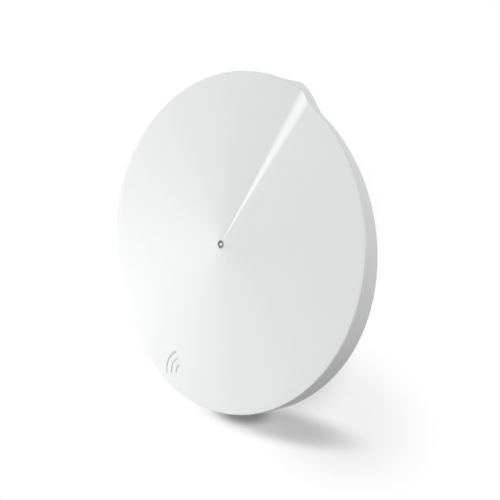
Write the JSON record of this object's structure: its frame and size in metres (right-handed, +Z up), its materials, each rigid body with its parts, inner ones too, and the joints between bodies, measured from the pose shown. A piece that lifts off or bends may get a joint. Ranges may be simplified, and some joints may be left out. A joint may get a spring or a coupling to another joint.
{
  "type": "mesh wifi node",
  "caption": "White disc-shaped mesh wifi node with a shallow conical face, one spiral crease, a centre light, and ports in a recess at the back.",
  "frame": {"origin": "on the light's axis, at the underside of the foot ring", "axes": "+Z up out of the face, +Y towards the ports, the crease at 35 degrees from +X towards -Y"},
  "size_m": [0.1205, 0.1196, 0.0379],
  "materials": {
    "white_cover": "satin white",
    "white_housing": "matt white",
    "grey_ring": "satin grey",
    "clear_pipe": "clear, polished",
    "grey_rubber": "matt",
    "label_film": "matt",
    "screw_steel": "zinc plated",
    "dark_plastic": "matt black",
    "board": "solder mask",
    "chip": "matt black",
    "thermal_pad": "matt",
    "aluminium": "satin",
    "shield_metal": "tinned",
    "contact_metal": "gold plated",
    "antenna_metal": "stamped",
    "lead_jacket": "satin",
    "led_package": "moulded"
  },
  "bodies": {
    "housing": {"top_cover": "white_cover", "led_ring": "grey_ring", "light_pipe": "clear_pipe", "status_led": "led_package", "lower_housing": "white_housing", "port_bezel": "white_housing", "foot_ring": "grey_rubber", "rating_label": "label_film", "housing_screws": "screw_steel", "reset_switch": "dark_plastic", "main_board": "board", "board_screws": "screw_steel", "processor": "chip", "thermal_pad": "thermal_pad", "heat_sink": "aluminium", "memory_chips": "chip", "radio_shields": "shield_metal", "network_transformers": "chip", "board_capacitors": "aluminium", "power_coils": "chip", "jack_left": "dark_plastic", "jack_right": "dark_plastic", "jack_shield_left": "shield_metal", "jack_shield_right": "shield_metal", "socket_contacts": "contact_metal", "inlet_shell": "shield_metal", "inlet_tongue": "dark_plastic", "antenna_carrier": "white_housing", "wifi_antennas": "antenna_metal", "sensor_antenna": "antenna_metal", "antenna_plugs": "contact_metal", "antenna_leads": "lead_jacket"},
    "button": {"reset_button": "grey_ring", "switch_stem": "dark_plastic"}
  },
  "joints": [
    {"name": "reset_press", "type": "slide", "parent": "housing", "child": "button", "axis": [0, 0, 1], "range_m": [0, 0.0005], "stiffness_N_per_m": 400}
  ]
}
